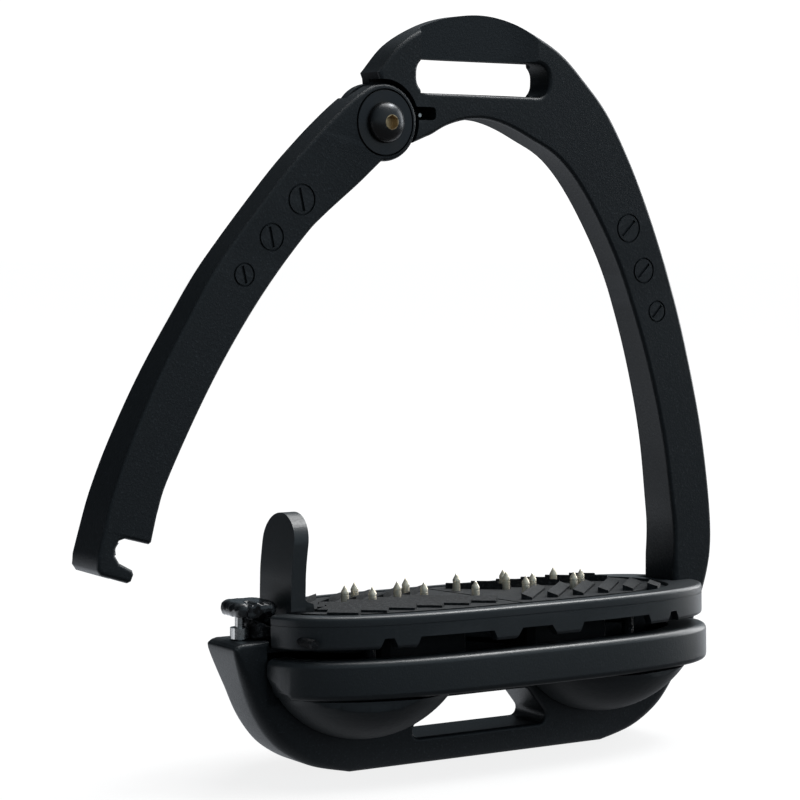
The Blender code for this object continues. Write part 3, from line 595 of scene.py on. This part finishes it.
def nearest_on_outline(place, outline, index):
    """Foot of a place on the two stretches of the outline beside a corner."""
    corners = [Vector((x, 0, z)) for x, z in
               (outline[index - 1], outline[index], outline[(index + 1) % len(outline)])]
    feet = []
    for first, last in zip(corners, corners[1:]):
        foot, share = intersect_point_line(place, first, last)
        feet.append(first.lerp(last, min(max(share, 0), 1)))
    return min(feet, key=lambda foot: (place - foot).length)


def round_ends(mesh, outline):
    """Enlarge the rounded edge along the outside of the base."""
    rim = KDTree(len(outline))
    for index, (x, z) in enumerate(outline):
        rim.insert((x, 0, z), index)
    rim.balance()
    shift = NOMINAL_HALF - EDGE
    for vert in mesh.vertices:
        place = Vector((vert.co.x / MM, 0, vert.co.z / MM))
        _, index, _ = rim.find(place)
        edge_point = nearest_on_outline(place, outline, index)
        distance = (place - edge_point).length
        inside = abs(edge_point.x) < INNER_CORNER[0] and edge_point.z > INNER_CORNER[1]
        outside = edge_point.z < BASE_EDGE_RIGHT[0] and not inside
        if not outside or distance > EDGE * 1.5 or abs(vert.co.y) / MM < shift - 0.01:
            continue
        radius = end_rounding(edge_point.x, edge_point.z)
        growth = radius / EDGE
        place = edge_point + (place - edge_point) * growth
        depth = NOMINAL_HALF - (NOMINAL_HALF - abs(vert.co.y) / MM) * growth
        vert.co = (place.x * MM, math.copysign(depth, vert.co.y) * MM, place.z * MM)
    refill_faces(mesh)


def refill_faces(mesh):
    """Make a slab's two flat faces again from their rims."""
    edit = bmesh.new()
    edit.from_mesh(mesh)
    faces = [face for face in edit.faces
             if all(abs(abs(v.co.y) - NOMINAL_HALF * MM) < 1e-6 for v in face.verts)]
    bmesh.ops.delete(edit, geom=faces, context="FACES")
    rims = [edge for edge in edit.edges if edge.is_boundary]
    for side in (-1, 1):
        rim = [edge for edge in rims if edge.verts[0].co.y * side > 0]
        bmesh.ops.triangle_fill(edit, use_beauty=True, edges=rim, normal=(0, side, 0))
    bmesh.ops.recalc_face_normals(edit, faces=edit.faces)
    edit.to_mesh(mesh)
    edit.free()


def make_frame(metal):
    neck = catmull([(-16.6, 148.1), (-14.6, 148.9), (-10.5, 151.0), (-5.0, 152.5), (1.0, 152.7),
                    (7.0, 151.4), (14.0, 148.5), (23.1, 143.7), *INNER_ARM, (60.0, 38.0)])
    base = [(59.5, BASE_TOP), (-59.4, BASE_TOP), (-59.4, END_TOP)]
    left_end = catmull([(-66.6, END_TOP), (-68.2, 31.9), (-68.7, 30.2),
                        *((-x, z) for x, z in BASE_CURVE[2:])])
    right_end = catmull([*reversed(BASE_CURVE), *reversed(OUTER_ARM), (36.9, 156.3), (31.0, 162.4),
                         (23.5, 169.0), (15.2, 173.4), (7.6, 176.2), (0, HEIGHT), (-8.1, 176.6),
                         (-16.0, 174.1), (-24.2, 169.4), (-30.3, 162.8)])
    lug = arc(PIVOT, LUG_R, LUG_FROM, 330, 48)
    step = arc(PIVOT, RECESS_R + 0.6, LUG_FROM, LUG_FROM, 1)[:1]
    half = SLOT_LENGTH / 2
    low, high = SLOT_Z - SLOT_HEIGHT / 2, SLOT_Z + SLOT_HEIGHT / 2
    leather_slot = rounded([(-half, low), (half, low), (half, high), (-half, high)], SLOT_ROUND, 8)
    window = rounded([(-21.6, 6.2), (21.6, 6.2), (14.2, 15.2), (-14.2, 15.2)], 1.8, 6)
    outline = neck + base + left_end + right_end + step + lug
    mesh = flat_mesh("forged_frame", [outline, leather_slot, window], -NOMINAL_HALF, NOMINAL_HALF,
                     edge=EDGE, edge_steps=4)
    round_ends(mesh, outline)
    taper(mesh)
    obj = new_piece("forged_frame", mesh)
    for side in (-1, 1):
        cut(obj, eye_cutter(side))
    recess_center = (PIVOT[0] - 0.3, PIVOT[1] + 0.3)
    cut(obj, rod_mesh(RECESS_R, -THROUGH, 0.9, recess_center, segments=96))
    slot = rounded([(-21.0, 152.1), (-14.0, 152.1), (-14.0, 155.2), (-21.0, 155.2)], 1.0, 4)
    cut(obj, flat_mesh("spring_slot", [slot], -THROUGH, 2.4))
    for radius, start, end in ((6.9, -1, 2.2), (3.8, -1, THROUGH), (5.4, 2.9, THROUGH)):
        cut(obj, rod_mesh(radius, start, end, PIVOT))      # coil, barrel nut and its head
    groove = box_mesh((5.8, 0.0, -0.85), (11.0, 2.2, 0.85))
    groove.transform(Matrix.Translation((PIVOT[0] * MM, 0, PIVOT[1] * MM))
                     @ Matrix.Rotation(math.radians(-11.3), 4, "Y"))
    cut(obj, groove)
    for x in (-SCREW_X, SCREW_X):
        cut(obj, rod_mesh(SCREW_HOLE_R, 11.0, 25.0, (x, 0), "Z"))
    cut(obj, rod_mesh(POST_R + GAP, 27.0, 40.0, (POST_X, 0), "Z"))
    cut_rosettes(obj, 1)
    dress(obj, metal, "stirrup_frame", "anodised", "main_frame")


def make_arm(metal):
    outer = catmull([(-35.0, 157.2), (-37.6, 154.2), (-41.2, 148.9), (-45.8, 141.1), (-51.4, 130.1),
                     *((-x, z) for x, z in OUTER_ARM[3:-1]), (-72.3, 42.0), (-72.1, 36.6)])
    tip = [(-71.5, 34.2), (-70.2, 33.2), (-63.3, 33.1), (-62.5, 33.7), (-62.3, 35.3), (-62.9, 36.2),
           (-66.4, 36.9), (-67.9, 38.2), (-68.4, 39.8), (-67.9, 41.6), (-66.6, 42.4), (-60.5, 42.6),
           (-60.0, 43.2)]
    inner = catmull([(-60.3, 49.3), (-59.9, 57.0), *((-x, z) for x, z in reversed(INNER_ARM[1:-2])),
                     (-37.4, 125.9), (-31.0, 135.1), (-27.7, 140.2)])
    boss = arc(PIVOT, BOSS_R, 283, 498, 60)
    mesh = flat_mesh("forged_arm", [outer + tip + inner + boss[:-1]], -NOMINAL_HALF, NOMINAL_HALF,
                     edge=0.85, edge_steps=3)
    taper(mesh)
    obj = new_piece("forged_arm", mesh)
    cut(obj, rod_mesh(LUG_R + 0.6, -0.1, THROUGH, PIVOT, segments=96))
    cut(obj, rod_mesh(7.9, -THROUGH, -3.1, PIVOT, segments=96))     # washer
    cut(obj, rod_mesh(4.9, -THROUGH, THROUGH, PIVOT))               # bush
    cut(obj, rod_mesh(6.9, -2.1, THROUGH, PIVOT))                   # spring coil
    cut(obj, box_mesh((-66.5, -2.6, 30.0), (-60.0, 2.6, 37.4)))     # slot in the lip for the post
    cut_rosettes(obj, -1)
    obj.data.transform(swung())
    dress(obj, metal, "arm", "anodised", "release_arm")


# ---------------------------------------------------------------- pivot
def make_pivot(steel):
    at = (PIVOT[0], 0, PIVOT[1])
    dome = [(4.75 * math.cos(math.radians(a)), 4.9 + 2.5 * math.sin(math.radians(a)))
            for a in range(0, 91, 10)]
    dome[-1] = (0, 7.4)
    shank = [(4.6, 4.7), (2.5, 4.7), (2.5, -3.6), (2.1, -4.0), (0, -4.0)]
    screw = new_piece("pivot_dome_screw", turned_mesh([*reversed(dome), *shank], at, segments=64))
    cut(screw, rod_mesh(HEX_ACROSS / math.sqrt(3), -9.0, -5.4, PIVOT, segments=6))
    soften(screw, 0.12, 2, 50)
    dress(screw, steel, "stirrup_frame", "dark_steel", "pivot_screw", sharp=50)
    low, high = 3.4, 4.4
    ring = [(2.8, high), (2.8, low), (7.4, low), (7.6, low + 0.2), (7.6, high - 0.25), (7.45, high)]
    washer = new_piece("pivot_flat_washer", turned_mesh(ring[::-1], at, segments=96))
    dress(washer, steel, "stirrup_frame", "dark_steel", "pivot_washer")


# ---------------------------------------------------------------- tread
def end_cuts(obj, left_end):
    """Room for the latch and the fixed arm at the two ends of the tread."""
    cut(obj, box_mesh((-90, -ARM_SLOT, 0), (left_end, ARM_SLOT, 60)))
    cut(obj, box_mesh((RIGHT_END, -ARM_SLOT, 0), (90, ARM_SLOT, 60)))


def cheek_mesh(side, face):
    """Half-moon gusset: a bowl between the underside of the tray and a face of the base."""
    edit = bmesh.new()
    bmesh.ops.create_uvsphere(edit, u_segments=96, v_segments=64, radius=1.0)
    bmesh.ops.scale(edit, vec=[r * MM for r in (CHEEK_R, CHEEK_DEPTH, CHEEK_R)], verts=edit.verts)
    bmesh.ops.translate(edit, vec=[c * MM for c in (side * CHEEK_X, face * ARM_SLOT, CHEEK_Z)],
                        verts=edit.verts)
    bowl = new_piece("cheek", closed(edit))
    low, high = sorted((face * ARM_SLOT, face * 40.0))
    cut(bowl, box_mesh((-70, low, 0), (70, high, TRAY_LOW + 0.6)), "INTERSECT")
    under = tread_outline(*(reach - 0.8 for reach in TRAY))
    cut(bowl, flat_mesh("cheek_limit", [under], 0, 40, "XY"), "INTERSECT")
    mesh = bowl.data
    bpy.data.objects.remove(bowl, do_unlink=True)
    return mesh


def make_tray(nylon):
    dish = flat_mesh("tray", [tread_outline(*TRAY)], TRAY_LOW, TRAY_HIGH, "XY", 1.5, 4)
    obj = new_piece("moulded_tray", dish)
    pocket = tread_outline(*POCKET, 96)
    cut(obj, flat_mesh("tray_pocket", [pocket], TRAY_FLOOR, 60, "XY"))
    obj.data.transform(tilted())
    end_cuts(obj, TRAY_END)
    round_end = arc((-CHEEK_X, CHEEK_Z), CHEEK_R, 180, 232, 40) + [(-90, 14.0), (-90, CHEEK_Z)]
    cut(obj, flat_mesh("round_end", [round_end], -40, 40))
    for side in (-1, 1):
        for face in (-1, 1):
            cut(obj, cheek_mesh(side, face), "UNION")
    for x in (-SCREW_X, SCREW_X):
        cut(obj, rod_mesh(SCREW_HOLE_R, 0, 25, (x, 0), "Z"))
    dress(obj, nylon, "stirrup_frame", "satin_black", "tread_tray")


def make_plate(nylon):
    rim = [reach - PLATE_INSET for reach in TRAY]
    slab = flat_mesh("plate", [tread_outline(*rim)], PLATE_LOW, PLATE_HIGH, "XY", 0.9, 3)
    obj = new_piece("moulded_plate", slab)
    cut(obj, flat_mesh("plate_hollow", [tread_outline(*PLATE_HOLLOW)], 0, DECK_LOW, "XY"))
    cut(obj, flat_mesh("deck_recess", [tread_outline(*DECK_RECESS)], DECK_TOP, 60, "XY"))
    for center, half_low, half_high in ((-38.9, 2.4, 1.1), (-21.4, 11.0, 9.8), (0.9, 6.4, 4.3),
                                        (25.2, 11.7, 10.5), (45.0, 2.4, 1.1)):
        notch = [(center - half_low - 0.4, PLATE_LOW - 1), (center + half_low + 0.4, PLATE_LOW - 1),
                 (center + half_high, PLATE_LOW + 2.5), (center - half_high, PLATE_LOW + 2.5)]
        cut(obj, flat_mesh("rim_notch", [notch], -40, 40))
    end_cuts(obj, PLATE_END)
    line_low = PLATE_HIGH - 2.35
    ring = [tread_outline(*(reach + more for reach in rim)) for more in (2, -0.18)]
    cut(obj, flat_mesh("rim_line", ring, line_low, line_low + 0.22, "XY"))
    obj.data.transform(tilted())
    dress(obj, nylon, "stirrup_frame", "satin_black", "tread_plate")


def rib_places():
    """Distance from the middle, length and row (-1 front, 1 back) of the ribs of one pad."""
    places = []
    for count in range(6):
        start = RIB_FIRST + RIB_PITCH * count
        places += [(start, min(23.0, (47.5 - start) * 1.35), -1),
                   (start, min(16.0, (47.5 - start) * 1.2), 1)]
    return places


def rib_mesh(side, row, start, length):
    """Rib that runs from the pad's edge to its middle line at 45 degrees, steep on one side."""
    section = [(-RIB_WIDTH, 38.0), (0, 38.0), (0, RIB_TOP), (-RIB_WIDTH, RIB_TOP - 0.9)]
    mesh = flat_mesh("rib", [section], 0, length, "YZ")
    edge_y = -17.8 if row < 0 else 13.6
    place = Matrix.Translation((side * start * MM, edge_y * MM, 0))
    mesh.transform(place @ Matrix.Diagonal((side, -row, 1, 1))
                   @ Matrix.Rotation(math.radians(45), 4, "Z"))
    if side * -row < 0:
        mesh.flip_normals()
    return mesh


def make_pads(rubber):
    for side, name, node in ((-1, "ribbed_pad_left", "grip_pad_left"),
                             (1, "ribbed_pad_right", "grip_pad_right")):
        outline = tread_outline(*PAD, 96)
        obj = new_piece(name, flat_mesh(name, [outline], DECK_TOP + 0.3, PLATE_HIGH, "XY"))
        inner, outer = sorted((side * 0.4, side * 52.0))
        cut(obj, box_mesh((inner, -40, 30), (outer, 40, 45)), "INTERSECT")
        for start, length, row in rib_places():
            cut(obj, rib_mesh(side, row, start, length), "UNION")
        if side < 0:
            cut(obj, box_mesh((-90, -8.0, 30), (-45.0, 8.0, 45)))
        for x, y in stud_places():
            if x * side > 0:
                cut(obj, rod_mesh(STUD_R + GAP, 30, 45, (x, y), "Z", 24))
        obj.data.transform(tilted())
        dress(obj, rubber, "stirrup_frame", "rubber", node, sharp=25)


def stud_places():
    """Studs in pairs half a turn apart about the middle, and one without a partner."""
    return [(x * k, y * k) for x, y in STUD_PAIRS for k in (1, -1)] + [STUD_SINGLE]


def make_studs(metal):
    foot, shoulder = DECK_TOP + 0.3, STUD_TOP - 1.55
    profile = [(0, STUD_TOP), (0.16, STUD_TOP - 0.06), (0.46, STUD_TOP - 0.62),
               (0.76, STUD_TOP - 1.15), (0.90, shoulder + 0.12), (STUD_R, shoulder),
               (STUD_R, shoulder - 0.5), (STUD_R - 0.08, shoulder - 0.56),
               (STUD_R - 0.08, shoulder - 0.72), (STUD_R, shoulder - 0.78),
               (STUD_R, foot + 0.05), (STUD_R - 0.05, foot), (0, foot)]
    for number, (x, y) in enumerate(stud_places(), 1):
        obj = new_piece(f"pointed_stud_{number:02d}", turned_mesh(profile, (x, y, 0), "Z", 20))
        obj.data.transform(tilted())
        dress(obj, metal, "stirrup_frame", "brass_steel", f"grip_stud_{number:02d}", sharp=50)


# ---------------------------------------------------------------- latch and lever
def make_catch(lacquer):
    low, high = (-67.0, -5.4, 37.6), (-56.0, 5.4, 41.5)
    outline = rounded([(low[0], low[1]), (high[0], low[1]), (high[0], high[1]), (low[0], high[1])],
                      2.8, 8)
    obj = new_piece("catch_knob", flat_mesh("knob", [outline], low[2], high[2], "XY", 1.6, 5))
    cut(obj, rod_mesh(1.7, 30, 50, (-63.0, low[1] - 0.6), "Z"))
    cut(obj, rod_mesh(0.9, low[1] - 1, -1.0, (-62.9, high[2] + 0.2)))
    cut(obj, rod_mesh(1.2, low[1] - 1, high[1] + 1, (low[0] + 2.0, low[2] - 0.4)))
    lump(obj, 0.3, 6, 0.22)
    cut(obj, rod_mesh(POST_R + GAP, 30, 40.3, (POST_X, 0), "Z"))
    dress(obj, lacquer, "catch", "gloss_black", "catch_head")


def make_rocker(raw):
    """Rough block between the lever and the catch, over the top of the base."""
    section = [(-61.9, 32.8), (-61.9, 36.2), (-61.2, 36.9), (-60.2, 36.9), (-57.2, 35.3),
               (-53.6, 34.2), (-53.4, 33.5), (-54.6, 32.3), (-56.0, 31.8), (-57.6, 32.6),
               (-58.6, 32.8)]
    block = flat_mesh("rocker", [section], -4.5, 4.5, edge=0.5, edge_steps=2)
    obj = new_piece("rough_rocker", block)
    lump(obj, 0.28, 3, 0.5)
    cut(obj, rod_mesh(1.1, -THROUGH, THROUGH, ROCKER_PIN))
    dress(obj, raw, "rocker", "steel", "release_rocker")


def make_lever(nylon):
    face, thick, width, top, lean = -54.3, 3.9, 14.0, 61.1, 1.5
    half, back = width / 2, face + thick
    outer = catmull([(face, 39.0), (face, 44.0), (face + 0.2, 50.0), (face + lean, top + 1)], 10)
    blade = outer + [(x + thick, z) for x, z in reversed(outer)]
    obj = new_piece("boot_lever", flat_mesh("lever", [blade], -half, half))
    tab = arc((0, top - half), half, 180, 0, 40) + [(half, 38.0), (-half, 38.0)]
    cut(obj, flat_mesh("lever_tab", [tab], -60, -40, "YZ"), "INTERSECT")
    soften(obj, 1.2, 5)
    settle(obj)
    foot = [(face, 35.2), (-51.0, 33.8), (-47.0, 33.8), (-46.3, 35.5), (-46.6, 38.6),
            (-46.9, 40.1), (-48.6, 40.6), (-49.9, 42.0), (back - 0.2, 45.0), (back - 0.6, 47.0),
            (face + 0.4, 47.0), (face + 0.4, 41.0), (face, 40.0)]
    cut(obj, flat_mesh("lever_foot", [foot], -4.8, 4.8), "UNION")
    cut(obj, rod_mesh(1.3, -THROUGH, THROUGH, LEVER_PIN))
    cut(obj, box_mesh((-51.6, -2.7, 30.0), (-40.0, 2.7, 38.6)))
    dress(obj, nylon, "lever", "satin_black", "release_lever")


# ---------------------------------------------------------------- studio
def make_studio():
    scene = bpy.context.scene
    scene.view_settings.view_transform = "Standard"
    floor_mesh = bpy.data.meshes.new("floor")
    edit = bmesh.new()
    bmesh.ops.create_grid(edit, x_segments=1, y_segments=1, size=6.0)
    edit.to_mesh(floor_mesh)
    edit.free()
    floor = new_piece("floor", floor_mesh)
    floor_mesh.materials.append(pale_floor())

    scene.world = studio_world()
    sun = bpy.data.lights.new("overhead", "SUN")
    sun.energy = SUN_POWER
    sun.angle = math.radians(SUN_SPREAD)
    overhead = bpy.data.objects.new("overhead", sun)
    overhead.rotation_euler = (math.radians(SUN_LEAN[0]), math.radians(SUN_LEAN[1]), 0)
    scene.collection.objects.link(overhead)
    lamp("right_panel", (1.5, 0.1, 0.4), (0, 0, 0.08), (1.0, 1.0), 14)
    lamp("top_strip", (0.9, -0.1, 1.35), (0, 0, 0.05), (0.5, 0.2), 9)


def pale_floor():
    """White floor with faint shadows, which reflects in the pieces as a lit strip behind them."""
    s = Shader("pale_floor")
    s.finish(Base_Color=(0.9, 0.9, 0.9), Roughness=0.8, Specular_IOR_Level=0.0)
    white = s.node("ShaderNodeEmission", {}, {"Color": (1, 1, 1), "Strength": 1.0})
    seen = s.node("ShaderNodeMixShader", {}, {0: 0.84, 1: Value(s, s.surface.outputs[0]), 2: white})
    back = s.node("ShaderNodeSeparateXYZ", {}, {"Vector": s.place()}, "Y")
    strip = back.above(-0.03, 0.05) - back.above(0.06, 0.28)
    lit = s.node("ShaderNodeEmission", {}, {"Color": (0.90, 0.94, 1.0),
                                            "Strength": strip * FLOOR_GLOW + FLOOR_DIM})
    return s.seen_by_camera(seen, lit)


def studio_world():
    """White backdrop, and a dim room for what the pieces reflect, darkest at the back left."""
    s = Shader("studio", world=True)
    s.finish(Color=(1, 1, 1), Strength=1.1)
    direction = s.node("ShaderNodeTexCoord", {}, {}, "Generated")
    across = s.node("ShaderNodeVectorMath", {"operation": "DOT_PRODUCT"},
                    {0: direction, 1: (-0.6, 0.8, 0.0)}, "Value")
    fade = s.node("ShaderNodeMapRange", {}, {"Value": across, "From Min": -0.9, "From Max": 0.8,
                                             "To Min": 0.46, "To Max": 0.03})
    room = s.node("ShaderNodeBackground", {}, {"Color": (0.72, 0.88, 1.0), "Strength": fade})
    return s.seen_by_camera(Value(s, s.surface.outputs[0]), room)


def lamp(name, place, target, size, power):
    light = bpy.data.lights.new(name, "AREA")
    light.shape = "RECTANGLE"
    light.size, light.size_y = size
    light.energy = power
    obj = bpy.data.objects.new(name, light)
    obj.location = place
    direction = Vector(target) - Vector(place)
    obj.rotation_euler = direction.to_track_quat("-Z", "Y").to_euler()
    bpy.context.scene.collection.objects.link(obj)


def make_camera():
    """Camera in front and to the left, looking a little down."""
    across, down, roll = (math.radians(a) for a in (CAMERA_ACROSS, CAMERA_DOWN, CAMERA_ROLL))
    forward = Vector((math.sin(across) * math.cos(down), math.cos(across) * math.cos(down),
                      -math.sin(down)))
    right = Vector((math.cos(across), -math.sin(across), 0))
    up = right.cross(forward)
    x_axis = right * math.cos(roll) + up * math.sin(roll)
    y_axis = up * math.cos(roll) - right * math.sin(roll)
    data = bpy.data.cameras.new("camera")
    data.lens = LENS
    data.sensor_width = SENSOR
    camera = bpy.data.objects.new("camera", data)
    turn = Matrix((x_axis, y_axis, -forward)).transposed().to_4x4()
    camera.matrix_world = Matrix.Translation(CAMERA_PLACE) @ turn
    bpy.context.scene.collection.objects.link(camera)
    bpy.context.scene.camera = camera


def paint_nodes(finishes):
    """Give every frame node that stays in view its finish."""
    for finish, nodes in finishes:
        for name in nodes:
            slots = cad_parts[name].data.materials
            slots.clear()
            slots.append(finish)


make_camera()
make_studio()
alloy, nylon, rubber = anodised_alloy(), moulded_nylon(), grip_rubber()
raw, blued, steel, studs = raw_black(), blued_steel(), bright_steel(), stud_metal()
paint_nodes((
    (blued, ("pivot_barrel_nut",)),
    (bearing_bronze(), ("pivot_bush",)),
    (washer_nylon(), ("thrust_washer",)),
    (steel, ("torsion_spring", "latch_post", "post_collar", "lever_spring", "lever_pin",
             "tray_screw_left", "tray_screw_right", "notch_liner")),
    (cushion_rubber(), ("cushion_left", "cushion_right")),
    (raw, ("lever_bracket", "rocker_pin", *(f"plate_post_{i}" for i in range(1, 5)))),
))
make_frame(alloy)
make_arm(alloy)
make_pivot(blued)
make_tray(nylon)
make_plate(nylon)
make_pads(rubber)
make_studs(studs)
make_catch(catch_lacquer())
make_rocker(raw)
make_lever(nylon)
